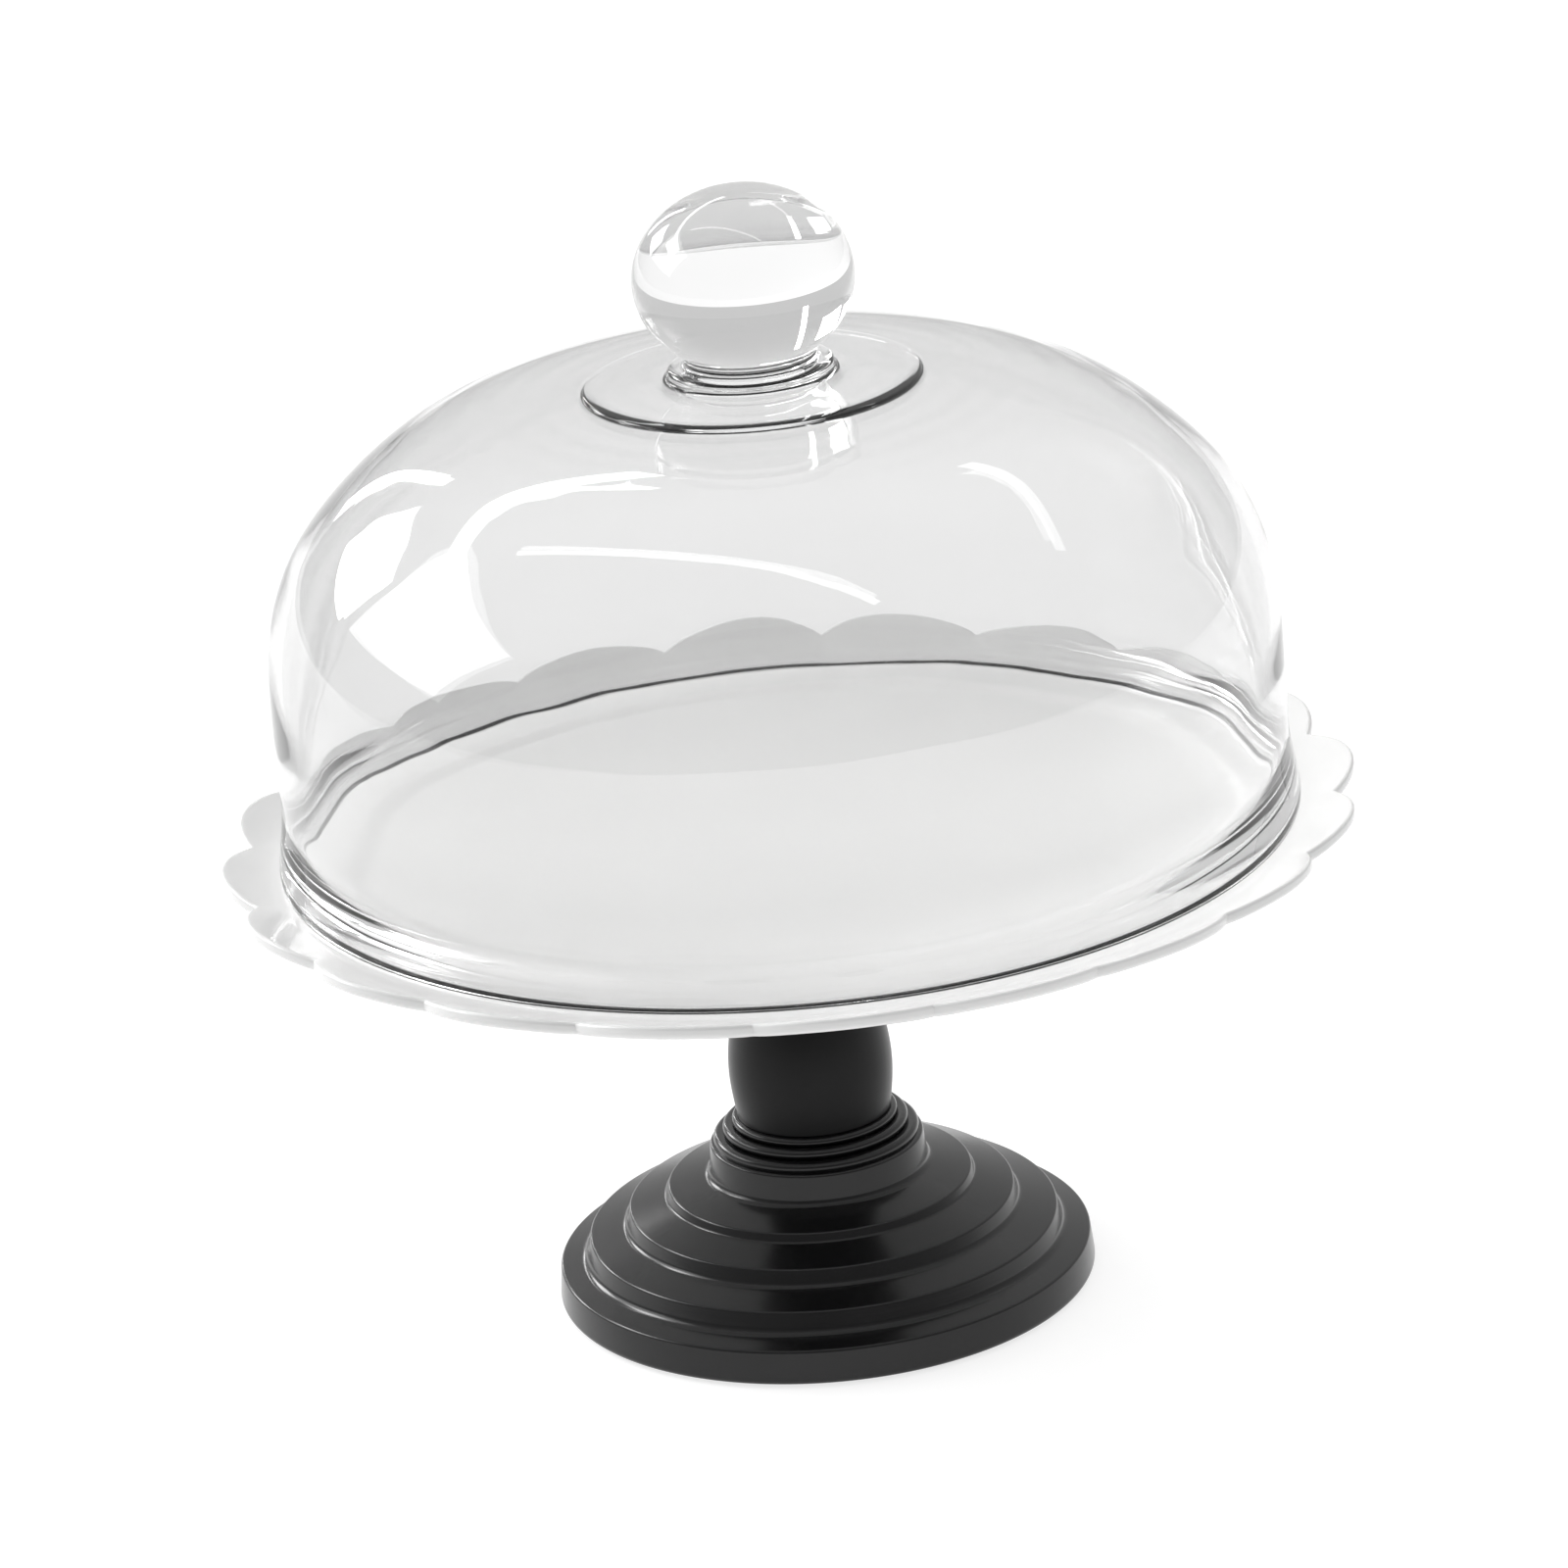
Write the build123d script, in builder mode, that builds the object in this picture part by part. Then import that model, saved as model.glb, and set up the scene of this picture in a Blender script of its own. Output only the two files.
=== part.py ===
from build123d import *
from math import acos, cos, hypot, pi, radians, sin
import os

# Cake stand: a turned two-piece pedestal carries a scalloped plate, and a glass dome with a
# ball knob stands loose on the plate. Millimetres, +Z up. The origin is the centre of the
# circle that the foot pads stand on.

# ---------------------------------------------------------------- glass dome and knob
seat_z = 131.0              # top of the plate, where the dome stands
dome_foot_r = 135.0         # outside of the rolled foot
dome_foot_inner_r = 128.0   # inside of the rolled foot
dome_foot_round = 1.5       # rounding under the rolled foot
dome_wall_r = 132.7         # outside of the upright wall
dome_height = 124.0         # foot to crown, outside
glass_wall = 3.6            # thickness of wall and crown
dome_seam_z = 206.0         # the one blown piece is kept as two solids that meet here
knob_disc_r = 44.0          # spread foot of the knob on the crown
knob_disc_lip_z = 255.1
knob_disc_slope = 0.3       # the disc rises this much towards the collar
knob_disc_flat = 12.0       # width of the disc's outer band
knob_root_depth = 8.0       # how far the knob's solid is carried down before the crown trims it
knob_collar_r = 20.8        # centre of the ring round the knob's neck
knob_collar_z = 256.8
knob_collar_round = 2.2
knob_neck_r = 17.0
knob_ball_r = 28.9          # the ball is a little flattened
knob_ball_half_height = 24.2
knob_ball_z = 281.1

# ---------------------------------------------------------------- plate
plate_tip_r = 150.5         # tips of the petals
plate_cusp_r = 144.0        # notches between the petals
petal_count = 20
first_cusp_deg = -5.4       # direction of one notch, from +X
plate_well_r = 112.0        # flat middle
plate_well_depth = 0.8
well_cove = 6.0             # width of the slope round the well
rim_start_r = 137.0         # the rim starts to rise here
rim_rise = 3.6              # petal tips above the seat
rim_thickness = 3.4
plate_thickness = 6.5       # under the seat level, at the middle
hub_r = 36.0                # raised pad underneath, which rests on the gasket
hub_drop = 2.0
spigot_r = 12.0             # locating spigot below the hub
spigot_drop = 6.0

# ---------------------------------------------------------------- pedestal
base_r = 72.4               # widest radius of the flange
base_bottom_z = 0.8         # the felt pads stand this far below the wood
flange_top_r = 71.4
flange_top_z = 10.3
riser_foot_r = (64.2, 52.9, 41.6, 29.4)     # the four risers, from the flange inwards
riser_top_r = (62.9, 51.7, 40.7, 28.6)
riser_foot_z = (12.1, 20.4, 28.0, 33.3)
riser_top_z = (17.7, 24.8, 30.4, 41.6)
cove_rounds = (2.8, 2.2, 1.2, 2.4)          # hollow at the foot of each riser
edge_round = 0.9            # rounding of every turned edge
bead_inset = 1.0            # the wood between the beads lies this far inside their centres
bead_radii = (26.0, 23.4, 20.9)             # centres of the rings below the column
bead_heights = (42.9, 45.7, 48.0)
bead_rounds = (1.6, 1.5, 1.3)
column_foot_z = 49.3
column_foot_r = 20.6
column_belly_r = 21.9
column_belly_z = 62.0
column_shoulder_r = 18.6
column_shoulder_z = 83.0
column_neck_r = 14.2
column_neck_z = 100.0
column_ring_round = 2.4
column_top_z = 121.0
column_top_r = 34.0
column_top_edge = 3.6       # thickness of the flared top's edge
flare_middle = (19.6, 113.8)                # a point half way round the hollow under the top
tenon_r = 12.0
tenon_length = 14.0
joint_gap = 0.4             # clearance at the ends of tenon and spigot

# ---------------------------------------------------------------- fixings and pads
bolt_r = 3.0
bolt_hole_r = 3.6
bolt_head_across_flats = 10.0
bolt_head_height = 4.0
counterbore_r = 9.5
counterbore_depth = 16.0
insert_r = 6.0
insert_length = 9.0
gasket_r = 31.0
flat_washer_r = 8.5
flat_washer_height = 1.6
spring_washer_r = 5.4
spring_washer_height = 1.5
spring_washer_gap = 1.2
small_chamfer = 0.6
pad_r = 7.0
pad_thickness = 2.4
pad_circle_r = 58.0
pad_count = 4
pad_fit = 0.1               # gap round a pad in its recess

# ---------------------------------------------------------------- derived heights
crown_z = seat_z + dome_height
well_z = seat_z - plate_well_depth
plate_bottom_z = seat_z - plate_thickness
hub_z = plate_bottom_z - hub_drop
spigot_z = hub_z - spigot_drop
bearing_z = base_bottom_z + counterbore_depth
flat_washer_z = bearing_z - flat_washer_height
spring_washer_z = flat_washer_z - spring_washer_height
bolt_head_z = spring_washer_z - bolt_head_height
bolt_tip_z = spigot_z + insert_length - small_chamfer

# The dome's outside, from the top of its rolled foot to the crown: radius, height over foot
dome_outline = [
    (dome_foot_r - 0.2, 3.0),
    (133.5, 11.0),
    (dome_wall_r, 28.0),
    (dome_wall_r, 48.0),
    (131.1, 65.0),
    (125.1, 81.0),
    (112.0, 97.0),
    (89.7, 113.0),
    (62.0, 120.6),
    (30.0, 123.4),
    (0.0, dome_height),
]


def inset(points, depth):
    """Shift an outline towards its inside by depth, along the normal at each point."""
    last = len(points) - 1
    shifted = []
    for i, (r, z) in enumerate(points):
        before = points[max(i - 1, 0)]
        after = points[min(i + 1, last)]
        dr = after[0] - before[0]
        dz = after[1] - before[1]
        length = hypot(dr, dz)
        shifted.append((r - depth * dz / length, z + depth * dr / length))
    shifted[last] = (0.0, points[last][1] - depth)
    return shifted


def lift(points, height):
    return [(r, z + height) for r, z in points]


def save(part, name):
    part.label = name
    export_step(part, f"parts/{name}.step")


os.makedirs("parts", exist_ok=True)

# ---------------------------------------------------------------- glass dome
# The rolled foot is thicker than the wall on the inside, with a flat ground underside.
outer_points = lift(dome_outline, seat_z)
inner_outline = inset(dome_outline, glass_wall)
inner_outline[0] = (dome_foot_inner_r, dome_outline[0][1])
inner_points = lift(inner_outline, seat_z)

with BuildPart() as dome_envelope:
    with BuildSketch(Plane.XZ):
        with BuildLine():
            Polyline((0, crown_z), (0, seat_z - 1), (outer_points[0][0], seat_z - 1), outer_points[0])
            Spline(*outer_points, tangents=[(-0.1, 1), (-1, 0)])
        make_face()
    revolve(axis=Axis.Z)

with BuildPart() as glass_dome:
    with BuildSketch(Plane.XZ) as dome_section:
        with BuildLine():
            Spline(*outer_points, tangents=[(-0.1, 1), (-1, 0)])
            Line((0, crown_z), inner_points[-1])
            Spline(*inner_points, tangents=[(0.1, 1), (-1, 0)])
            Polyline(
                inner_points[0],
                (dome_foot_inner_r, seat_z),
                (dome_foot_r, seat_z),
                outer_points[0],
            )
        make_face()
        foot_corners = dome_section.vertices().group_by(Axis.Y)[0]
        fillet(foot_corners, dome_foot_round)
    revolve(axis=Axis.Z)

seam = Plane.XY.offset(dome_seam_z)
with BuildPart() as glass_dome_wall:
    add(glass_dome.part)
    split(bisect_by=seam, keep=Keep.BOTTOM)
save(glass_dome_wall.part, "glass_dome_wall")

with BuildPart() as glass_dome_crown:
    add(glass_dome.part)
    split(bisect_by=seam, keep=Keep.TOP)
save(glass_dome_crown.part, "glass_dome_crown")

# ---------------------------------------------------------------- knob, fused on the crown
neck_angle = -acos(knob_neck_r / knob_ball_r)
ball_spans = 8
ball_points = []
for i in range(ball_spans):
    angle = neck_angle + (pi / 2 - neck_angle) * i / ball_spans
    ball_points.append((knob_ball_r * cos(angle), knob_ball_z + knob_ball_half_height * sin(angle)))
ball_points.append((0, knob_ball_z + knob_ball_half_height))
ball_start = (-knob_ball_r * sin(neck_angle), knob_ball_half_height * cos(neck_angle))

with BuildPart() as dome_knob:
    with BuildSketch(Plane.XZ) as knob_section:
        with BuildLine():
            Spline(*ball_points, tangents=[ball_start, (-1, 0)])
            Polyline(
                ball_points[-1],
                (0, crown_z - knob_root_depth),
                (knob_disc_r, crown_z - knob_root_depth),
                (knob_disc_r, knob_disc_lip_z),
                (knob_disc_r - knob_disc_flat, knob_disc_lip_z + knob_disc_slope),
                (knob_collar_r, knob_collar_z),
                ball_points[0],
            )
        make_face()
        lip_corner = knob_section.vertices().sort_by(Axis.X)[-2:].sort_by(Axis.Y)[-1]
        fillet(lip_corner, edge_round)
        with Locations((knob_collar_r, knob_collar_z)):
            Circle(knob_collar_round)
    revolve(axis=Axis.Z)
    add(dome_envelope.part, mode=Mode.SUBTRACT)
save(dome_knob.part, "dome_knob")

# ---------------------------------------------------------------- serving plate
rim_end_r = plate_tip_r + 1.0
rim_end_z = seat_z + rim_rise + 0.3
with BuildPart() as serving_plate:
    with BuildSketch(Plane.XZ):
        with BuildLine():
            Polyline(
                (0, spigot_z),
                (0, well_z),
                (plate_well_r, well_z),
                (plate_well_r + well_cove, seat_z),
                (rim_start_r, seat_z),
            )
            Spline((rim_start_r, seat_z), (rim_end_r, rim_end_z), tangents=[(1, 0), (1, 0.42)])
            Line((rim_end_r, rim_end_z), (rim_end_r, rim_end_z - rim_thickness))
            Spline(
                (rim_end_r, rim_end_z - rim_thickness),
                (rim_start_r - 6, plate_bottom_z + 1.6),
                (plate_well_r, plate_bottom_z),
                tangents=[(-1, -0.42), (-1, 0)],
            )
            Polyline(
                (plate_well_r, plate_bottom_z),
                (hub_r + hub_drop, plate_bottom_z),
                (hub_r, hub_z),
                (spigot_r, hub_z),
                (spigot_r, spigot_z),
                (0, spigot_z),
            )
        make_face()
    revolve(axis=Axis.Z)
    with BuildSketch(Plane.XY.offset(spigot_z - 1)):
        with BuildLine():
            for petal in range(petal_count):
                start = radians(first_cusp_deg + petal * 360 / petal_count)
                middle = radians(first_cusp_deg + (petal + 0.5) * 360 / petal_count)
                end = radians(first_cusp_deg + (petal + 1) * 360 / petal_count)
                ThreePointArc(
                    (plate_cusp_r * cos(start), plate_cusp_r * sin(start)),
                    (plate_tip_r * cos(middle), plate_tip_r * sin(middle)),
                    (plate_cusp_r * cos(end), plate_cusp_r * sin(end)),
                )
        make_face()
    extrude(amount=rim_end_z - spigot_z + 2, mode=Mode.INTERSECT)
    with BuildSketch(Plane.XY.offset(spigot_z)):
        Circle(insert_r)
    extrude(amount=insert_length, mode=Mode.SUBTRACT)
save(serving_plate.part, "serving_plate")

# ---------------------------------------------------------------- threaded insert
with BuildPart() as threaded_insert:
    with BuildSketch(Plane.XY.offset(spigot_z)):
        Circle(insert_r)
        Circle(bolt_r, mode=Mode.SUBTRACT)
    extrude(amount=insert_length)
    groove_z = spigot_z + insert_length / 2
    with BuildSketch(Plane.XY.offset(groove_z - small_chamfer)):
        Circle(insert_r)
        Circle(insert_r - small_chamfer, mode=Mode.SUBTRACT)
    extrude(amount=2 * small_chamfer, mode=Mode.SUBTRACT)
save(threaded_insert.part, "threaded_insert")

# ---------------------------------------------------------------- gasket under the hub
with BuildPart() as plate_gasket:
    with BuildSketch(Plane.XY.offset(column_top_z)):
        Circle(gasket_r)
        Circle(spigot_r + joint_gap, mode=Mode.SUBTRACT)
    extrude(amount=hub_z - column_top_z)
save(plate_gasket.part, "plate_gasket")

# ---------------------------------------------------------------- column
ring_z = column_neck_z + column_ring_round
flare_z = ring_z + column_ring_round
top_edge_z = column_top_z - column_top_edge
flare_end_r = column_top_r - 3.0
with BuildPart() as pedestal_column:
    with BuildSketch(Plane.XZ) as column_section:
        with BuildLine():
            Polyline(
                (0, column_foot_z - tenon_length),
                (tenon_r, column_foot_z - tenon_length),
                (tenon_r, column_foot_z),
                (column_foot_r, column_foot_z),
            )
            Spline(
                (column_foot_r, column_foot_z),
                (column_belly_r, column_belly_z),
                (column_shoulder_r, column_shoulder_z),
                (column_neck_r, column_neck_z),
            )
            Line((column_neck_r, column_neck_z), (column_neck_r, flare_z))
            ThreePointArc((column_neck_r, flare_z), flare_middle, (flare_end_r, top_edge_z))
            Polyline(
                (flare_end_r, top_edge_z),
                (column_top_r, top_edge_z),
                (column_top_r, column_top_z),
                (0, column_top_z),
                (0, column_foot_z - tenon_length),
            )
        make_face()
        top_corners = column_section.vertices().group_by(Axis.X)[-1]
        fillet(top_corners, edge_round)
        with Locations((column_neck_r, ring_z)):
            Circle(column_ring_round)
    revolve(axis=Axis.Z)
    with BuildSketch(Plane.XY.offset(column_top_z)):
        Circle(spigot_r + joint_gap)
    extrude(amount=-(column_top_z - spigot_z + joint_gap), mode=Mode.SUBTRACT)
    Hole(bolt_hole_r)
save(pedestal_column.part, "pedestal_column")

# ---------------------------------------------------------------- stepped base
riser_feet = list(zip(riser_foot_r, riser_foot_z))
riser_tops = list(zip(riser_top_r, riser_top_z))
riser_points = []
for foot, top in zip(riser_feet, riser_tops):
    riser_points += [foot, top]

with BuildPart() as pedestal_base:
    with BuildSketch(Plane.XZ) as base_section:
        with BuildLine():
            Polyline(
                (0, base_bottom_z),
                (base_r, base_bottom_z),
                (flange_top_r, flange_top_z),
                *riser_points,
                (bead_radii[0] - bead_inset, riser_top_z[-1] + bead_inset),
                (column_foot_r - bead_inset, column_foot_z),
                (0, column_foot_z),
                close=True,
            )
        make_face()
        for radius in (flange_top_r, *riser_top_r, base_r):
            edge = base_section.vertices().filter_by_position(Axis.X, radius - 0.05, radius + 0.05)
            fillet(edge, edge_round)
        for radius, cove in zip(riser_foot_r, cove_rounds):
            root = base_section.vertices().filter_by_position(Axis.X, radius - 0.05, radius + 0.05)
            fillet(root, cove)
        for radius, height, rounding in zip(bead_radii, bead_heights, bead_rounds):
            with Locations((radius, height)):
                Circle(rounding)
    revolve(axis=Axis.Z)
    with BuildSketch(Plane.XY.offset(column_foot_z)):
        Circle(tenon_r)
    extrude(amount=-(tenon_length + joint_gap), mode=Mode.SUBTRACT)
    with BuildSketch(Plane.XY.offset(base_bottom_z)):
        Circle(bolt_hole_r)
    extrude(amount=column_foot_z, mode=Mode.SUBTRACT)
    with BuildSketch(Plane.XY.offset(base_bottom_z)):
        Circle(counterbore_r)
    extrude(amount=counterbore_depth, mode=Mode.SUBTRACT)
    with BuildSketch(Plane.XY.offset(base_bottom_z)):
        with PolarLocations(pad_circle_r, pad_count, start_angle=45):
            Circle(pad_r + pad_fit)
    extrude(amount=pad_thickness - base_bottom_z, mode=Mode.SUBTRACT)
save(pedestal_base.part, "pedestal_base")

# ---------------------------------------------------------------- tie bolt and washers
with BuildPart() as tie_bolt:
    with BuildSketch(Plane.XY.offset(bolt_head_z)):
        RegularPolygon(bolt_head_across_flats / 2, 6, major_radius=False)
    extrude(amount=bolt_head_height)
    with BuildSketch(Plane.XY.offset(bolt_head_z)):
        Circle(bolt_r - 0.05)
    extrude(amount=bolt_tip_z - bolt_head_z)
    chamfer(tie_bolt.faces().sort_by(Axis.Z)[-1].edges(), small_chamfer)
save(tie_bolt.part, "tie_bolt")

with BuildPart() as spring_washer:
    with BuildSketch(Plane.XY.offset(spring_washer_z)):
        Circle(spring_washer_r)
        Circle(bolt_r + 0.1, mode=Mode.SUBTRACT)
        with Locations((spring_washer_r, 0)):
            Rectangle(2 * spring_washer_r, spring_washer_gap, rotation=12, mode=Mode.SUBTRACT)
    extrude(amount=spring_washer_height)
save(spring_washer.part, "spring_washer")

with BuildPart() as flat_washer:
    with BuildSketch(Plane.XY.offset(flat_washer_z)):
        Circle(flat_washer_r)
        Circle(bolt_r + 0.2, mode=Mode.SUBTRACT)
    extrude(amount=flat_washer_height)
save(flat_washer.part, "flat_washer")

# ---------------------------------------------------------------- felt pads
with BuildPart() as foot_pad:
    with BuildSketch():
        Circle(pad_r)
    extrude(amount=pad_thickness)
    chamfer(foot_pad.faces().sort_by(Axis.Z)[0].edges(), small_chamfer / 2)

pad_places = PolarLocations(pad_circle_r, pad_count, start_angle=45)
for number, place in enumerate(pad_places, start=1):
    save(foot_pad.part.moved(place), f"foot_pad_{number}")
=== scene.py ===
"""Looks of the cake stand: a blown-glass dome with a ball knob over a scalloped white plate,
on a black turned pedestal. Lengths are in millimetres until a mesh is made. The floor, the
lamps and the camera are in metres."""
import math

import bmesh
import bpy
import numpy as np
from mathutils import Matrix, Vector


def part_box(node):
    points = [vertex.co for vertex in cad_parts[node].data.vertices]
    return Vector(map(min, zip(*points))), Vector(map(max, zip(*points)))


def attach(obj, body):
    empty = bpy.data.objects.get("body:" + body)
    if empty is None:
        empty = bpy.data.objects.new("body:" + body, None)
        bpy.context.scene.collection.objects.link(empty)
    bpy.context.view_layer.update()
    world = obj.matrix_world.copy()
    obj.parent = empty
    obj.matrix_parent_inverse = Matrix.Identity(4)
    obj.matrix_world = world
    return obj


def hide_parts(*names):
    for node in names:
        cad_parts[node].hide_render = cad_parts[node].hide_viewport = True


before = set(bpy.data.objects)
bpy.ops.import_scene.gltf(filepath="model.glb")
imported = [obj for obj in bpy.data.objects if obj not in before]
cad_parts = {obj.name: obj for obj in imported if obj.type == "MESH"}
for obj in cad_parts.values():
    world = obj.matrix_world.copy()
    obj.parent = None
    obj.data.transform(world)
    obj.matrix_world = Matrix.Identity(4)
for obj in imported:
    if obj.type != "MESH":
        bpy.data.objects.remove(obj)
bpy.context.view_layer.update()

MM = 0.001


def mm_box(name):
    """A CAD node's lowest and highest corners, in millimetres."""
    low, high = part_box(name)
    return [c / MM for c in low], [c / MM for c in high]


wall_low, wall_high = mm_box("glass_dome_wall")
base_low, base_high = mm_box("pedestal_base")
column_low, column_high = mm_box("pedestal_column")
crown_high = mm_box("glass_dome_crown")[1]
knob_high = mm_box("dome_knob")[1]
plate_low = mm_box("serving_plate")[0]
gasket_high = mm_box("plate_gasket")[1]
insert_high = mm_box("threaded_insert")[1]

SEAT_Z = wall_low[2]            # top of the plate, where the dome stands
SPIGOT_Z = plate_low[2]         # lower end of the plate's spigot
INSERT_R = insert_high[0]
INSERT_TOP_Z = insert_high[2]
COLUMN_FOOT_Z = base_high[2]    # where the column's shoulder rests on the base
TENON_FOOT_Z = column_low[2]    # lower end of the column's tenon
TENON_R = 12.0
BOLT_HOLE_R = 3.6
END_GAP = 0.4                   # left beyond the end of a tenon or a spigot
SHARP_DEG = 50                  # edges above this angle are shaded as edges


# ------------------------------------------------------------------ outlines
def smooth(points, steps=8, start=None, end=None):
    """A cubic spline of even curvature through (r, z) points. start and end are optional
    directions at its two ends."""
    pts = np.array(points, float)
    gaps = np.linalg.norm(np.diff(pts, axis=0), axis=1)
    slants = np.diff(pts, axis=0) / gaps[:, None]
    count = len(pts)
    matrix = np.zeros((count, count))
    right = np.zeros((count, 2))
    for i in range(1, count - 1):
        before, after = gaps[i - 1], gaps[i]
        matrix[i, i - 1:i + 2] = after, 2 * (before + after), before
        right[i] = 3 * (after * slants[i - 1] + before * slants[i])
    for own, other, direction, slant in ((0, 1, start, slants[0]), (-1, -2, end, slants[-1])):
        matrix[own, own] = 1
        if direction is None:
            matrix[own, other] = 0.5
            right[own] = 1.5 * slant
        else:
            right[own] = np.array(direction, float) / np.linalg.norm(direction)
    slopes = np.linalg.solve(matrix, right)
    out = []
    for i, gap in enumerate(gaps):
        for k in range(steps):
            t = k / steps
            h00 = 2 * t**3 - 3 * t**2 + 1
            h10 = (t**3 - 2 * t**2 + t) * gap
            h01 = 3 * t**2 - 2 * t**3
            h11 = (t**3 - t**2) * gap
            out.append(h00 * pts[i] + h10 * slopes[i] + h01 * pts[i + 1] + h11 * slopes[i + 1])
    out.append(pts[-1])
    return [tuple(p) for p in out]


def rounded(corners, steps=6):
    """An outline from (r, z, rounding) corners, with each corner turned by an arc. A corner
    without rounding stays sharp."""
    out = [tuple(corners[0][:2])]
    for before, here, after in zip(corners, corners[1:], corners[2:]):
        corner = np.array(here[:2], float)
        radius = here[2]
        if radius == 0:
            out.append(tuple(corner))
            continue
        to_before = np.array(before[:2]) - corner
        to_after = np.array(after[:2]) - corner
        to_before /= np.linalg.norm(to_before)
        to_after /= np.linalg.norm(to_after)
        half = math.acos(float(to_before @ to_after)) / 2
        reach = radius / math.tan(half)
        middle = to_before + to_after
        centre = corner + middle / np.linalg.norm(middle) * radius / math.sin(half)
        first = corner + to_before * reach - centre
        last = corner + to_after * reach - centre
        sweep = math.pi - 2 * half
        for k in range(steps + 1):
            a = math.sin(sweep * (1 - k / steps)) / math.sin(sweep)
            b = math.sin(sweep * k / steps) / math.sin(sweep)
            out.append(tuple(centre + first * a + last * b))
    out.append(tuple(corners[-1][:2]))
    return out


def bead(centre, radius, start_deg, end_deg, steps=12):
    """Points on a round bead's section, between two directions."""
    angles = np.radians(np.linspace(start_deg, end_deg, steps + 1))
    return [(centre[0] + radius * math.cos(a), centre[1] + radius * math.sin(a)) for a in angles]


def ease(t):
    """Goes from 0 to 1 with a level start and end."""
    return t * t * (3 - 2 * t)


# ------------------------------------------------------------------ mesh makers
def finish_mesh(name, verts, faces, sharp_deg=None):
    """Makes an object from points in millimetres and the faces that close it."""
    mesh = bpy.data.meshes.new(name)
    mesh.from_pydata((np.asarray(verts) * MM).tolist(), [], faces)
    mesh.validate()
    work = bmesh.new()
    work.from_mesh(mesh)
    bmesh.ops.recalc_face_normals(work, faces=work.faces)
    if work.calc_volume(signed=True) < 0:
        bmesh.ops.reverse_faces(work, faces=work.faces)
    work.to_mesh(mesh)
    work.free()
    mesh.shade_smooth()
    if sharp_deg is not None:
        mesh.set_sharp_from_angle(angle=math.radians(sharp_deg))
    piece = bpy.data.objects.new(name, mesh)
    bpy.context.scene.collection.objects.link(piece)
    return piece


def ring_faces(rows, columns):
    """Quads between rows of points that each run round the axis."""
    faces = []
    for i in range(rows - 1):
        for j in range(columns):
            k = (j + 1) % columns
            faces.append((i * columns + j, i * columns + k, (i + 1) * columns + k, (i + 1) * columns + j))
    return faces


def close_on_axis(name, r, z, angles, first_z, last_z, sharp_deg=None):
    """Makes an object from grids of r and z, closed by a point on the axis at either end."""
    rows, columns = r.shape
    verts = np.stack([r * np.cos(angles), r * np.sin(angles), z], -1).reshape(-1, 3)
    verts = np.vstack([verts, [[0, 0, first_z], [0, 0, last_z]]])
    faces = ring_faces(rows, columns)
    first, last = rows * columns, rows * columns + 1
    last_row = (rows - 1) * columns
    for j in range(columns):
        k = (j + 1) % columns
        faces.append((first, k, j))
        faces.append((last, last_row + j, last_row + k))
    return finish_mesh(name, verts, faces, sharp_deg)


def turned_grid(outline, angles):
    """Grids of r and z, with a row for each point of the outline."""
    r = np.repeat(np.array([p[0] for p in outline])[:, None], len(angles), axis=1)
    z = np.repeat(np.array([p[1] for p in outline])[:, None], len(angles), axis=1)
    return r, z


def around(steps):
    """Angles evenly spaced round the axis."""
    return np.linspace(0, 2 * math.pi, steps, endpoint=False)


def spin_loop(name, outline, steps):
    """Turns an outline that closes on itself, for a piece with a hole along its axis."""
    angles = around(steps)
    r, z = turned_grid(outline, angles)
    verts = np.stack([r * np.cos(angles), r * np.sin(angles), z], -1).reshape(-1, 3)
    last_row = (len(outline) - 1) * steps
    faces = ring_faces(len(outline), steps)
    faces += [(last_row + j, last_row + (j + 1) % steps, (j + 1) % steps, j) for j in range(steps)]
    return finish_mesh(name, verts, faces, SHARP_DEG)


# ------------------------------------------------------------------ glass dome and knob
GLASS_STEPS = 384           # mesh steps round the dome
GLASS_WALL = 3.6
BODY_R = 132.7              # upright part of the wall
FOOT_R = wall_high[0]
FOOT_INNER_R = 128.0
FOOT_LIFT = 0.03            # keeps the glass from sharing a plane with the plate
DISC_R = knob_high[0]       # spread foot of the knob
DISC_EDGE_Z = 122.4         # over the seat
NECK_R = 17.2
BALL_R = 28.9
BALL_HALF_HEIGHT = 24.2
BALL_TOP_Z = knob_high[2]
BALL_END_R = NECK_R + 1.6   # where the ball turns into the neck
BALL_ROWS = 64
INNER_TOP_Z = crown_high[2] - GLASS_WALL

# Radius, and height from the end of the ball: a ring at the foot of the neck, then the disc.
NECK_AND_DISC = (
    (NECK_R, -1.9), (17.6, -3.4), (19.6, -3.9), (21.6, -5.0), (22.2, -6.4), (24.0, -7.0),
    (31.0, -7.4), (38.0, -7.9), (DISC_R - 1.0, -8.6), (DISC_R - 0.2, -8.95),
)
# Radius, and height over the seat, from the disc's edge down to the foot.
OUTER_WALL = (
    (DISC_R + 0.6, DISC_EDGE_Z - 0.2), (62.0, 120.6), (89.7, 113.0), (112.0, 97.0), (125.1, 81.0),
    (131.1, 65.0), (BODY_R, 48.0), (BODY_R, 28.0), (133.5, 11.0), (FOOT_R - 0.1, 3.0),
)
# The same from the foot up to the crown. Its slope stays near the outer one, because a steeper
# inside would turn parts of the crown into dark mirrors.
INNER_WALL = (
    (FOOT_INNER_R + 0.1, 3.4), (129.6, 11.0), (BODY_R - GLASS_WALL, 28.0), (BODY_R - GLASS_WALL, 48.0),
    (127.5, 64.4), (121.8, 79.2), (109.4, 94.4), (89.2, 109.6), (64.4, 116.75), (46.8, 118.4),
    (28.0, 119.7),
)

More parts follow.
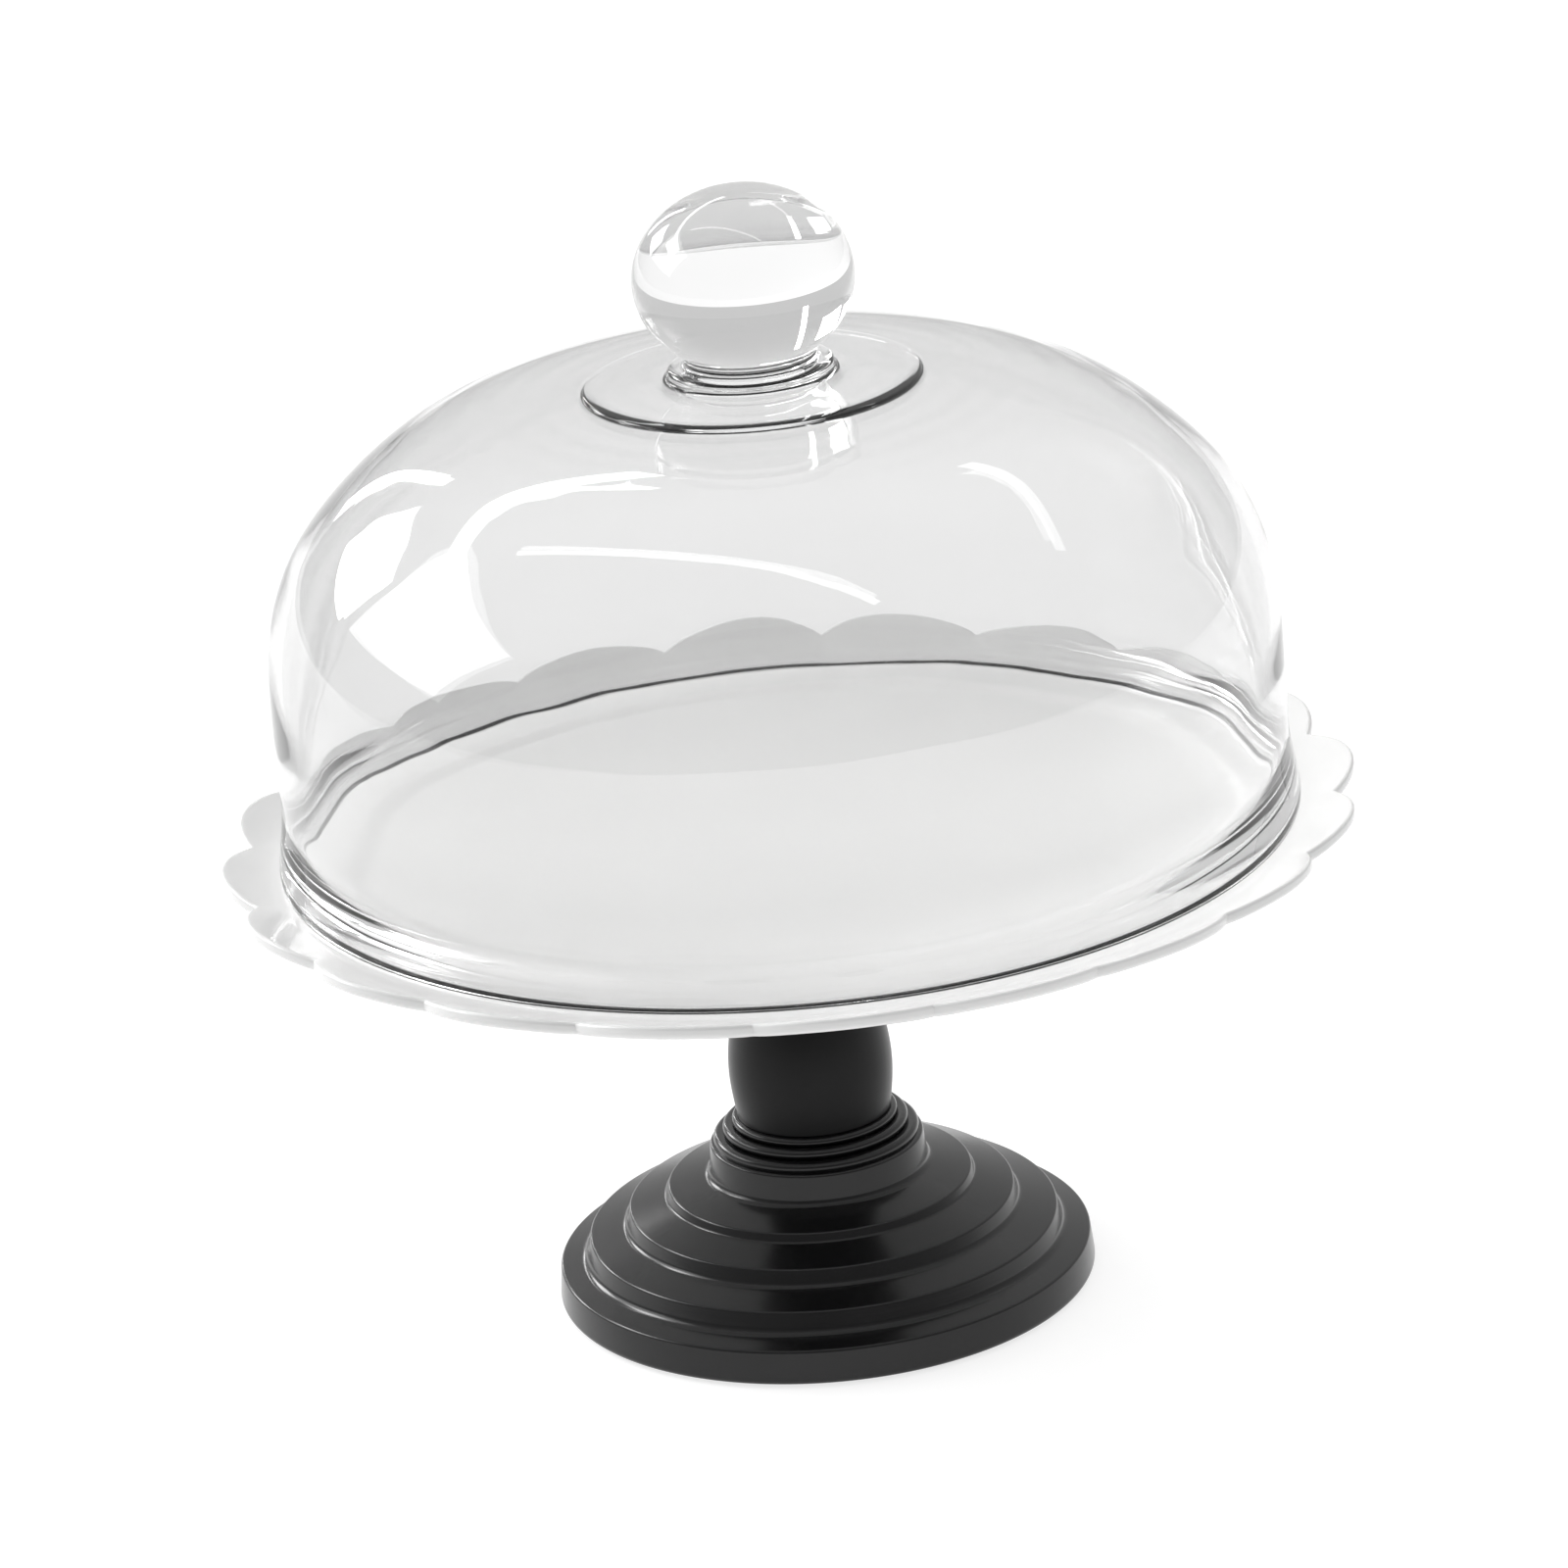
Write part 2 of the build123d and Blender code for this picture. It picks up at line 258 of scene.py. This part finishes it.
RIPPLE = 0.10               # unevenness of the blown wall
RIPPLE_LENGTH = 9.0
SLOW_RIPPLE = 0.6           # share of a slower ripple
SLOW_RIPPLE_LENGTH = 23.0
RING_DEPTH = 0.012          # faint rings that run round the crown
RING_LENGTH = 1.3
FADE_LENGTH = 20.0          # over which ripples and rings set in
RIPPLE_START = 8.0          # over the seat
RING_START = 90.0           # over the seat
CALM_R = 30.0               # ripples fade out inside this radius


def over_seat(points):
    """Points whose heights were given over the seat."""
    return [(r, SEAT_Z + height) for r, height in points]


def glass_outline():
    """The outside from the top of the ball down to the foot, then the inside up to the crown."""
    ball_z = BALL_TOP_Z - BALL_HALF_HEIGHT
    ball_end = math.acos(BALL_END_R / BALL_R)
    ball = [(0.0, BALL_TOP_Z)]
    for angle in np.linspace(math.pi / 2, -ball_end, BALL_ROWS)[1:]:
        ball.append((BALL_R * math.cos(angle), ball_z + BALL_HALF_HEIGHT * math.sin(angle)))
    ball_end_z = ball[-1][1]
    knob_foot = [(r, ball_end_z + height) for r, height in NECK_AND_DISC]
    disc_edge = (DISC_R + 0.1, SEAT_Z + DISC_EDGE_Z)
    neck = smooth([ball[-1], *knob_foot, disc_edge], start=(-1, -1), end=(0.6, -1))
    outside = smooth(over_seat(OUTER_WALL), steps=14, start=(1, -0.07), end=(0.1, -1))
    foot = rounded([
        (FOOT_R, SEAT_Z + 2.4, 0),
        (FOOT_R, SEAT_Z + FOOT_LIFT, 1.0),
        (FOOT_INNER_R, SEAT_Z + FOOT_LIFT, 1.2),
        (FOOT_INNER_R, SEAT_Z + 2.6, 0),
    ], steps=8)
    inner_top = (0.0, INNER_TOP_Z)
    inside = smooth([*over_seat(INNER_WALL), inner_top], steps=14, start=(0.1, 1), end=(-1, 0))
    return ball + neck[1:] + outside + foot + inside


def blown(r, z, angles):
    """Bends the inside of the shell in and out a little, as a blown wall is."""
    inside = np.arange(len(z))[:, None] > np.argmin(z[:, 0])
    height = z - SEAT_Z
    calm = np.clip((height - RIPPLE_START) / FADE_LENGTH, 0, 1) * np.clip(r / CALM_R, 0, 1)
    wave = np.sin(z / RIPPLE_LENGTH + 2 * np.cos(2 * angles))
    wave += SLOW_RIPPLE * np.sin(3 * angles + z / SLOW_RIPPLE_LENGTH)
    rings = np.sin(r / RING_LENGTH + 0.4 * np.sin(2 * angles))
    rings *= np.clip((height - RING_START) / FADE_LENGTH, 0, 1)
    return r + RIPPLE * calm * wave * inside, z + RING_DEPTH * rings * inside


def glass_mesh():
    outline = glass_outline()
    angles = around(GLASS_STEPS)
    r, z = blown(*turned_grid(outline[1:-1], angles), angles)
    return close_on_axis("glass_cover", r, z, angles, outline[0][1], outline[-1][1])


glass_cover = glass_mesh()
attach(glass_cover, "dome")
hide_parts("glass_dome_wall", "glass_dome_crown", "dome_knob")


# ------------------------------------------------------------------ serving plate
PETALS = 20
FIRST_NOTCH_DEG = -5.4
PETAL_STEPS = 24            # mesh steps across one petal
TIP_R = 150.4
NOTCH_R = 144.0
CENTRE_R = 8.0              # innermost row of the top
WELL_R = 112.0
WELL_DEPTH = 0.8
WELL_STEP_START = WELL_R - 3
WELL_STEP_WIDTH = 9.0
RIM_START_R = 137.0
RIM_RISE = 3.6
RIM_CURVE = 1.35            # above 1, the rim is dished
RIM_THICKNESS = 3.4
RIM_EDGE_ROUND = 1.3
CREASE = 0.35               # depth of the fold that runs in from each notch
CREASE_SHARPNESS = 6
UNDER_DEPTH = 6.5           # from the seat to the flat underside
HUB_FOOT_R = 39.0
HUB_R = 36.0
HUB_Z = gasket_high[2]


def petal_radius(phase):
    """Radius of the rim's outline, where phase runs from 0 to 1 across a petal. Each petal is
    an arc through two notches and a tip."""
    half_angle = math.pi / PETALS
    chord_mid = NOTCH_R * math.cos(half_angle)
    half_chord = NOTCH_R * math.sin(half_angle)
    sagitta = TIP_R - chord_mid
    arc_r = (half_chord**2 + sagitta**2) / (2 * sagitta)
    centre = TIP_R - arc_r
    angle = (phase - 0.5) * 2 * half_angle
    return centre * np.cos(angle) + np.sqrt(arc_r**2 - (centre * np.sin(angle))**2)


def plate_rows():
    """Rows of (r, z) round the plate, from the middle of its top out over the rim and back along
    the underside to the hub, and the angles of the points in a row."""
    steps = PETALS * PETAL_STEPS
    index = np.arange(steps)
    angles = math.radians(FIRST_NOTCH_DEG) + 2 * math.pi * index / steps
    phase = (index % PETAL_STEPS) / PETAL_STEPS
    edge = petal_radius(phase)
    crease = np.abs(np.cos(math.pi * phase)) ** CREASE_SHARPNESS
    rows = []

    def level(r, z):
        rows.append((np.full(steps, r), np.full(steps, z)))

    def rim(share, height, inset):
        """A row of the rim, share of the way from its start to the edge."""
        r = RIM_START_R + (edge - inset - RIM_START_R) * share
        rise = RIM_RISE * ((r - RIM_START_R) / (TIP_R - RIM_START_R)) ** RIM_CURVE
        rows.append((r, SEAT_Z + rise + height - CREASE * crease * share))

    for r in np.linspace(CENTRE_R, WELL_R - 6, 14):
        level(r, SEAT_Z - WELL_DEPTH)
    for t in np.linspace(0, 1, 13):
        level(WELL_STEP_START + WELL_STEP_WIDTH * t, SEAT_Z - WELL_DEPTH * (1 - ease(t)))
    for r in np.linspace(WELL_R + 9, RIM_START_R, 8):
        level(r, SEAT_Z)
    for share in np.linspace(0, 1, 13)[1:]:
        rim(share, 0.0, RIM_EDGE_ROUND)
    for turn in np.linspace(0, math.pi / 2, 7)[1:]:
        rim(1.0, RIM_EDGE_ROUND * (math.cos(turn) - 1), RIM_EDGE_ROUND * (1 - math.sin(turn)))
    lower_bend = RIM_THICKNESS - RIM_EDGE_ROUND
    for turn in np.linspace(0, math.pi / 2, 7):
        rim(1.0, -lower_bend - RIM_EDGE_ROUND * math.sin(turn), RIM_EDGE_ROUND * (1 - math.cos(turn)))
    for share in np.linspace(1, 0, 11)[1:]:
        rim(share, -RIM_THICKNESS, RIM_EDGE_ROUND)
    for t in np.linspace(0, 1, 13)[1:]:
        drop = RIM_THICKNESS + (UNDER_DEPTH - RIM_THICKNESS) * ease(t)
        level(RIM_START_R - (RIM_START_R - WELL_R) * t, SEAT_Z - drop)
    hub = rounded([
        (WELL_R - 4, SEAT_Z - UNDER_DEPTH, 0),
        (HUB_FOOT_R, SEAT_Z - UNDER_DEPTH, 2.5),
        (HUB_R, HUB_Z, 0.8),
        (TENON_R, HUB_Z, 0),
        (TENON_R, SPIGOT_Z, 0.5),
        (INSERT_R, SPIGOT_Z, 0),
        (INSERT_R, INSERT_TOP_Z, 0),
        (0.5, INSERT_TOP_Z, 0),
    ])
    for r, z in hub:
        level(r, z)
    return rows, angles


def plate_mesh():
    rows, angles = plate_rows()
    r = np.array([row[0] for row in rows])
    z = np.array([row[1] for row in rows])
    return close_on_axis("scalloped_plate", r, z, angles, SEAT_Z - WELL_DEPTH, INSERT_TOP_Z, SHARP_DEG)


plate = plate_mesh()
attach(plate, "stand")
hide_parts("serving_plate")


# ------------------------------------------------------------------ turned base
BASE_STEPS = 288
BASE_R = base_high[0]
BASE_BOTTOM_Z = base_low[2]
COUNTERBORE_R = 9.5
BORE_TOP_Z = 16.8
EDGE = 0.9                  # rounding of the turned edges
# Radius and height of each corner, from the rim inwards.
FLANGE_TOP = (71.4, 10.3)
RISER_FEET = ((64.2, 12.1), (52.9, 20.4), (41.6, 28.0), (29.4, 33.3))
RISER_TOPS = ((62.9, 17.7), (51.7, 24.8), (40.7, 30.4), (28.6, 41.6))
COVES = (2.8, 2.2, 1.2, 2.4)
LAST_SHELF = (25.8, 42.4)
# Radius, height and rounding of the beads under the column.
BEADS = ((26.0, 42.9, 1.6), (23.4, 45.7, 1.5), (20.9, 48.0, 1.3))
BEAD_SWEEP = (-62, 88)
COLUMN_SEAT_R = 19.0


def base_outline():
    corners = [
        (COUNTERBORE_R, BORE_TOP_Z, 0),
        (COUNTERBORE_R, BASE_BOTTOM_Z, 0.6),
        (BASE_R, BASE_BOTTOM_Z, 1.6),
        (*FLANGE_TOP, EDGE),
    ]
    for foot, top, cove in zip(RISER_FEET, RISER_TOPS, COVES):
        corners += [(*foot, cove), (*top, EDGE)]
    corners.append((*LAST_SHELF, 0))
    outline = rounded(corners, steps=8)
    for r, z, radius in BEADS:
        outline += bead((r, z), radius, *BEAD_SWEEP)
    return outline + [
        (COLUMN_SEAT_R, COLUMN_FOOT_Z),
        (TENON_R, COLUMN_FOOT_Z),
        (TENON_R, TENON_FOOT_Z - END_GAP),
        (BOLT_HOLE_R, TENON_FOOT_Z - END_GAP),
        (BOLT_HOLE_R, BORE_TOP_Z),
    ]


base = spin_loop("stepped_base", base_outline(), BASE_STEPS)
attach(base, "stand")
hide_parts("pedestal_base")


# ------------------------------------------------------------------ turned column
COLUMN_STEPS = 256
COLUMN_TOP_R = column_high[0]
COLUMN_TOP_Z = column_high[2]
TOP_EDGE_Z = COLUMN_TOP_Z - 3.6
TOP_EDGE_START_R = COLUMN_TOP_R - 3
SPIGOT_BORE_R = 12.4
COLUMN_NECK_R = 14.2
COLUMN_NECK_Z = 100.0
NECK_RING_ROUND = 2.4
BARREL_FOOT_R = 20.6
BARREL = ((21.9, 62.0), (18.6, 83.0))   # radius and height of the belly and the shoulder
FLARE = ((16.4, 110.5), (22.0, 115.2))


def column_outline():
    barrel = smooth([
        (BARREL_FOOT_R, COLUMN_FOOT_Z + 0.15),
        *BARREL,
        (COLUMN_NECK_R, COLUMN_NECK_Z),
    ], steps=20)
    ring = bead((COLUMN_NECK_R, COLUMN_NECK_Z + NECK_RING_ROUND), NECK_RING_ROUND, -80, 80)
    flare = smooth([
        (COLUMN_NECK_R + 0.3, COLUMN_NECK_Z + 2 * NECK_RING_ROUND),
        *FLARE,
        (TOP_EDGE_START_R, TOP_EDGE_Z),
    ], steps=10, start=(0, 1), end=(1, 0.12))
    top_and_bore = rounded([
        (TOP_EDGE_START_R, TOP_EDGE_Z, 0),
        (COLUMN_TOP_R, TOP_EDGE_Z, EDGE),
        (COLUMN_TOP_R, COLUMN_TOP_Z, EDGE),
        (SPIGOT_BORE_R, COLUMN_TOP_Z, 0.4),
        (SPIGOT_BORE_R, SPIGOT_Z - END_GAP, 0),
        (BOLT_HOLE_R, SPIGOT_Z - END_GAP, 0),
        (BOLT_HOLE_R, TENON_FOOT_Z, 0),
        (TENON_R, TENON_FOOT_Z, 0.5),
        (TENON_R, COLUMN_FOOT_Z, 0),
        (COLUMN_SEAT_R - 0.5, COLUMN_FOOT_Z, 0),
    ])
    foot_edge = [(BARREL_FOOT_R - 0.4, COLUMN_FOOT_Z + 0.02)]
    return foot_edge + barrel + ring + flare + top_and_bore[1:]


column = spin_loop("barrel_column", column_outline(), COLUMN_STEPS)
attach(column, "stand")
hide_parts("pedestal_column")


# ------------------------------------------------------------------ shader helpers
def new_material(name):
    mat = bpy.data.materials.new(name)
    mat.use_nodes = True
    return mat, mat.node_tree, mat.node_tree.nodes["Principled BSDF"]


def node(tree, kind, **values):
    """Adds a node. Each value goes to the input or the setting of that name."""
    made = tree.nodes.new(kind)
    for key, value in values.items():
        if key in made.inputs:
            made.inputs[key].default_value = value
        else:
            setattr(made, key, value)
    return made


def object_coords(tree, scale=(1, 1, 1)):
    coords = node(tree, "ShaderNodeTexCoord")
    mapping = node(tree, "ShaderNodeMapping", Scale=scale)
    tree.links.new(coords.outputs["Object"], mapping.inputs["Vector"])
    return mapping.outputs["Vector"]


def noise(tree, vector, scale, detail=4.0, rough=0.55):
    tex = node(tree, "ShaderNodeTexNoise", Scale=scale, Detail=detail, Roughness=rough)
    tree.links.new(vector, tex.inputs["Vector"])
    return tex.outputs["Fac"]


def ramp(tree, factor, stops):
    """Colors a 0 to 1 value by (place, color) stops."""
    made = node(tree, "ShaderNodeValToRGB")
    elements = made.color_ramp.elements
    while len(elements) < len(stops):
        elements.new(0.5)
    for element, (place, color) in zip(elements, stops):
        element.position = place
        element.color = (*color, 1)
    tree.links.new(factor, made.inputs["Fac"])
    return made.outputs["Color"]


def spread(tree, factor, low, high):
    """Maps a 0 to 1 value onto low to high."""
    made = node(tree, "ShaderNodeMapRange")
    made.inputs["To Min"].default_value = low
    made.inputs["To Max"].default_value = high
    tree.links.new(factor, made.inputs["Value"])
    return made.outputs["Result"]


def bump(tree, height, strength, distance, under=None):
    made = node(tree, "ShaderNodeBump", Strength=strength, Distance=distance)
    tree.links.new(height, made.inputs["Height"])
    if under is not None:
        tree.links.new(under, made.inputs["Normal"])
    return made.outputs["Normal"]


def grey(value):
    return (value, value, value)


# ------------------------------------------------------------------ materials
def clear_glass():
    """Neutral glass. Shadow rays pass straight through it, so that what it covers stays light."""
    mat, tree, shader = new_material("clear_glass")
    shader.inputs["IOR"].default_value = 1.48
    shader.inputs["Transmission Weight"].default_value = 1.0
    vector = object_coords(tree)
    tone = ramp(tree, noise(tree, vector, 6.0), [(0.3, grey(0.825)), (0.7, grey(0.845))])
    tree.links.new(tone, shader.inputs["Base Color"])
    rough = spread(tree, noise(tree, vector, 14.0), 0.0, 0.02)
    tree.links.new(rough, shader.inputs["Roughness"])
    ripples = noise(tree, object_coords(tree, (1, 1, 3.5)), 9.0, detail=1.5)
    tree.links.new(bump(tree, ripples, 0.12, 0.004), shader.inputs["Normal"])
    path = node(tree, "ShaderNodeLightPath")
    through = node(tree, "ShaderNodeBsdfTransparent", Color=(*grey(0.97), 1))
    mix = node(tree, "ShaderNodeMixShader")
    tree.links.new(path.outputs["Is Shadow Ray"], mix.inputs["Fac"])
    tree.links.new(shader.outputs["BSDF"], mix.inputs[1])
    tree.links.new(through.outputs["BSDF"], mix.inputs[2])
    tree.links.new(mix.outputs["Shader"], tree.nodes["Material Output"].inputs["Surface"])
    return mat


def white_glaze():
    mat, tree, shader = new_material("white_glaze")
    vector = object_coords(tree)
    tones = [(0.3, (0.745, 0.745, 0.742)), (0.7, (0.775, 0.775, 0.772))]
    tree.links.new(ramp(tree, noise(tree, vector, 9.0), tones), shader.inputs["Base Color"])
    rough = spread(tree, noise(tree, vector, 22.0), 0.16, 0.26)
    tree.links.new(rough, shader.inputs["Roughness"])
    shader.inputs["Coat Weight"].default_value = 0.25
    shader.inputs["Coat Roughness"].default_value = 0.12
    waves = noise(tree, vector, 28.0, detail=2.0)
    pits = noise(tree, vector, 900.0, detail=1.0)
    normal = bump(tree, waves, 0.10, 0.002)
    tree.links.new(bump(tree, pits, 0.02, 0.0005, normal), shader.inputs["Normal"])
    return mat


def black_lacquer(name, tones, rough_low, rough_high, shine):
    """Lacquer over turned wood: fine grain along the piece and rings left by the lathe."""
    mat, tree, shader = new_material(name)
    drift = noise(tree, object_coords(tree, (1, 1, 0.25)), 60.0)
    tone = ramp(tree, drift, [(0.35, tones[0]), (0.75, tones[1])])
    tree.links.new(tone, shader.inputs["Base Color"])
    rough = spread(tree, noise(tree, object_coords(tree), 45.0), rough_low, rough_high)
    tree.links.new(rough, shader.inputs["Roughness"])
    shader.inputs["Specular IOR Level"].default_value = shine
    grain = noise(tree, object_coords(tree, (1, 1, 0.06)), 420.0, detail=3.0)
    rings = noise(tree, object_coords(tree, (0.05, 0.05, 1)), 700.0, detail=2.0)
    normal = bump(tree, grain, 0.03, 0.0004)
    tree.links.new(bump(tree, rings, 0.04, 0.0004, normal), shader.inputs["Normal"])
    return mat


def metal(name, tones, rough_low, rough_high):
    """Turned metal with fine rings."""
    mat, tree, shader = new_material(name)
    shader.inputs["Metallic"].default_value = 1.0
    tone = ramp(tree, noise(tree, object_coords(tree), 160.0), [(0.3, tones[0]), (0.7, tones[1])])
    tree.links.new(tone, shader.inputs["Base Color"])
    turned = noise(tree, object_coords(tree, (0.1, 0.1, 1)), 2500.0, detail=2.0)
    tree.links.new(spread(tree, turned, rough_low, rough_high), shader.inputs["Roughness"])
    tree.links.new(bump(tree, turned, 0.08, 0.0002), shader.inputs["Normal"])
    return mat


def soft(name, tones, scale, depth):
    """Rubber or felt: matt, with a fine uneven surface."""
    mat, tree, shader = new_material(name)
    fine = noise(tree, object_coords(tree), scale, detail=6.0, rough=0.7)
    tree.links.new(ramp(tree, fine, [(0.3, tones[0]), (0.7, tones[1])]), shader.inputs["Base Color"])
    tree.links.new(spread(tree, fine, 0.75, 0.95), shader.inputs["Roughness"])
    tree.links.new(bump(tree, fine, 0.5, depth), shader.inputs["Normal"])
    return mat


def dress(piece, mat):
    """Gives an object one material."""
    if not piece.material_slots:
        piece.data.materials.append(mat)
    for item in piece.material_slots:
        item.material = mat


BASE_TONES = ((0.0035, 0.0035, 0.0038), (0.0060, 0.0060, 0.0064))
COLUMN_TONES = ((0.0025, 0.0025, 0.0027), (0.0045, 0.0045, 0.0048))
dress(glass_cover, clear_glass())
dress(plate, white_glaze())
dress(base, black_lacquer("black_lacquer", BASE_TONES, 0.15, 0.22, shine=0.42))
dress(column, black_lacquer("black_satin", COLUMN_TONES, 0.26, 0.36, shine=0.20))

brass = metal("brass", ((0.66, 0.47, 0.20), (0.75, 0.56, 0.27)), 0.25, 0.40)
zinc = metal("zinc_steel", ((0.55, 0.56, 0.58), (0.66, 0.67, 0.69)), 0.28, 0.45)
rubber = soft("dark_rubber", (grey(0.020), grey(0.035)), 900.0, 0.0003)
felt = soft("black_felt", (grey(0.012), grey(0.040)), 1600.0, 0.0006)
dress(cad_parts["threaded_insert"], brass)
dress(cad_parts["plate_gasket"], rubber)
for name in ("tie_bolt", "spring_washer", "flat_washer"):
    dress(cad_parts[name], zinc)
for number in range(1, 5):
    dress(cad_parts[f"foot_pad_{number}"], felt)


# ------------------------------------------------------------------ floor, light and camera
FLOOR_HALF = 8.0
FLOOR_GLOW = 0.76
WORLD_STRENGTH = 1.05
FRONT_SHADE = 0.36          # the camera's side of the room against the far side
FRONT_SHADE_END = 0.4       # how far towards the far side the shade reaches, from -1 to 1
WORLD_STOPS = [
    (0.0, grey(0.66)), (0.15, grey(0.64)), (0.34, grey(0.66)), (0.55, grey(0.75)), (0.85, grey(1.0)),
]
LAMP_DISTANCE = 20.0
# Name, then azimuth, elevation, width and height in degrees, glow, and turn in degrees.
WINDOWS = (
    ("soft_left", 166, 31, 36, 28, 2.8, 0),
    ("back_left_pane", 134, 21, 17, 13, 10.0, 0),
    ("back_left_post", 113, 16, 2.6, 24, 9.0, 0),
    ("left_key", 160, 37, 19, 11, 9.0, 0),
    ("left_strip", 128, 42, 50, 3.0, 6.0, 0),
    ("right_strip", 43, 48, 36, 2.0, 2.8, 0),
    ("top_strip", 160, 82, 60, 1.8, 5.0, 75),
)
CAMERA_DISTANCE = 2.0
CAMERA_LIFT_DEG = 20.36     # of the camera's place, as seen from the middle of the plate
CAMERA_TILT_DEG = 20.07     # of its view, below level
CAMERA_PAN_DEG = -0.02
CAMERA_ROLL_DEG = -4.9
CAMERA_LENS = 174.0
CAMERA_SENSOR = 36.0
seat = Vector((0, 0, SEAT_Z * MM))


def pale_floor():
    """A white table that is lit a little from inside."""
    mesh = bpy.data.meshes.new("floor")
    corners = [(FLOOR_HALF * x, FLOOR_HALF * y, 0) for x, y in ((-1, -1), (1, -1), (1, 1), (-1, 1))]
    mesh.from_pydata(corners, [], [(0, 1, 2, 3)])
    floor = bpy.data.objects.new("floor", mesh)
    bpy.context.scene.collection.objects.link(floor)
    mat, tree, shader = new_material("pale_floor")
    tone = ramp(tree, noise(tree, object_coords(tree), 3.0), [(0.3, grey(0.36)), (0.7, grey(0.37))])
    tree.links.new(tone, shader.inputs["Base Color"])
    shader.inputs["Roughness"].default_value = 0.8
    shader.inputs["Specular IOR Level"].default_value = 0.1
    shader.inputs["Emission Color"].default_value = (1, 1, 1, 1)
    shader.inputs["Emission Strength"].default_value = FLOOR_GLOW
    dress(floor, mat)


def window(name, azimuth, elevation, width, height, glow, turn):
    """A flat lamp that faces the middle of the plate, as bright as glow."""
    light = bpy.data.lights.new(name, "AREA")
    light.shape = "RECTANGLE"
    light.size = 2 * LAMP_DISTANCE * math.tan(math.radians(width / 2))
    light.size_y = 2 * LAMP_DISTANCE * math.tan(math.radians(height / 2))
    light.energy = glow * math.pi * light.size * light.size_y
    lamp = bpy.data.objects.new(name, light)
    az, el = math.radians(azimuth), math.radians(elevation)
    away = Vector((math.cos(az) * math.cos(el), math.sin(az) * math.cos(el), math.sin(el)))
    lamp.location = seat + LAMP_DISTANCE * away
    facing = (-away).to_track_quat("-Z", "Y").to_matrix()
    lamp.rotation_euler = (facing @ Matrix.Rotation(math.radians(turn), 3, "Z")).to_euler()
    bpy.context.scene.collection.objects.link(lamp)


def studio_world():
    """An even pale room that is darker towards the horizon and on the camera's side."""
    world = bpy.data.worlds.new("studio")
    world.use_nodes = True
    bpy.context.scene.world = world
    tree = world.node_tree
    coords = node(tree, "ShaderNodeTexCoord")
    split = node(tree, "ShaderNodeSeparateXYZ")
    tree.links.new(coords.outputs["Generated"], split.inputs["Vector"])
    height = ramp(tree, split.outputs["Z"], WORLD_STOPS)
    depth = node(tree, "ShaderNodeMapRange")
    depth.inputs["From Min"].default_value = -1.0
    depth.inputs["From Max"].default_value = FRONT_SHADE_END
    depth.inputs["To Min"].default_value = FRONT_SHADE
    tree.links.new(split.outputs["Y"], depth.inputs["Value"])
    tone = node(tree, "ShaderNodeMixRGB", blend_type="MULTIPLY", Fac=1.0)
    tree.links.new(height, tone.inputs["Color1"])
    tree.links.new(depth.outputs["Result"], tone.inputs["Color2"])
    background = tree.nodes["Background"]
    tree.links.new(tone.outputs["Color"], background.inputs["Color"])
    background.inputs["Strength"].default_value = WORLD_STRENGTH


def studio_camera():
    """A long lens a little above the plate, turned a few degrees about its own axis."""
    lift = math.radians(CAMERA_LIFT_DEG)
    place = seat + CAMERA_DISTANCE * Vector((0, -math.cos(lift), math.sin(lift)))
    tilt = math.radians(CAMERA_TILT_DEG)
    pan = math.radians(CAMERA_PAN_DEG)
    roll = math.radians(CAMERA_ROLL_DEG)
    forward = Vector((math.sin(pan) * math.cos(tilt), math.cos(pan) * math.cos(tilt), -math.sin(tilt)))
    right = Vector((math.cos(pan), -math.sin(pan), 0))
    up = right.cross(forward)
    turned_right = math.cos(roll) * right + math.sin(roll) * up
    turned_up = -math.sin(roll) * right + math.cos(roll) * up
    data = bpy.data.cameras.new("camera")
    data.lens = CAMERA_LENS
    data.sensor_width = CAMERA_SENSOR
    camera = bpy.data.objects.new("camera", data)
    axes = Matrix((turned_right, turned_up, -forward)).transposed()
    camera.matrix_world = Matrix.Translation(place) @ axes.to_4x4()
    bpy.context.scene.collection.objects.link(camera)
    bpy.context.scene.camera = camera


pale_floor()
studio_world()
for lamp_values in WINDOWS:
    window(*lamp_values)
studio_camera()
bpy.context.scene.view_settings.view_transform = "Standard"
